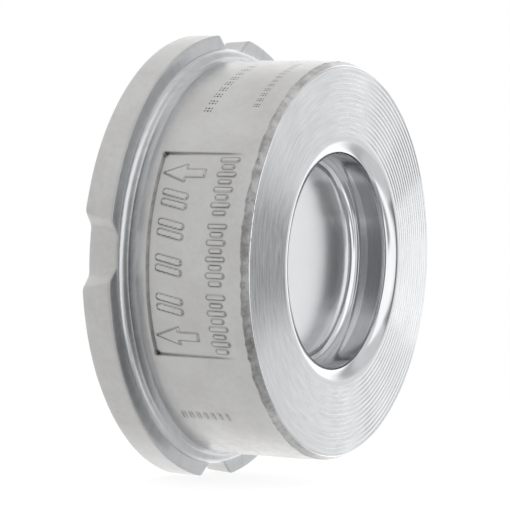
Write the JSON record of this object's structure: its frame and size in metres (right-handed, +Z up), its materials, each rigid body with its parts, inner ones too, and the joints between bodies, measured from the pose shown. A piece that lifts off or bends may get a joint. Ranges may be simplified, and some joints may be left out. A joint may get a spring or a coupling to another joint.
{
  "type": "wafer check valve",
  "caption": "Spring-loaded disc check valve for clamping between pipe flanges: a short lobed cast body with a flat disc, coil spring, cross-shaped retainer and retaining ring.",
  "frame": {"origin": "on the flow axis, midway between the two sealing faces", "axes": "+X out of the inlet face, against the flow; -X out of the outlet face; +Z up, through one bolt notch; the cast plate and another notch are centred on -Y"},
  "size_m": [0.04, 0.1068, 0.1068],
  "materials": {
    "body_casting": "bead-blasted investment-cast stainless steel, with turned and serrated sealing faces",
    "lapped_disc": "stainless steel, lapped and polished",
    "spring_wire": "drawn stainless spring wire",
    "pressed_steel": "tumbled stainless steel",
    "ring_steel": "satin spring stainless steel"
  },
  "bodies": {
    "housing": {"body": "body_casting", "spring_retainer": "pressed_steel", "retaining_ring": "ring_steel", "closing_spring": "spring_wire"},
    "disc": {"valve_disc": "lapped_disc"}
  },
  "joints": [
    {"name": "disc_lift", "type": "slide", "parent": "housing", "child": "disc", "axis": [-1, 0, 0], "range_m": [0, 0.009], "stiffness_N_per_m": 300, "springref_m": -0.0107, "deforming": ["closing_spring"]}
  ]
}
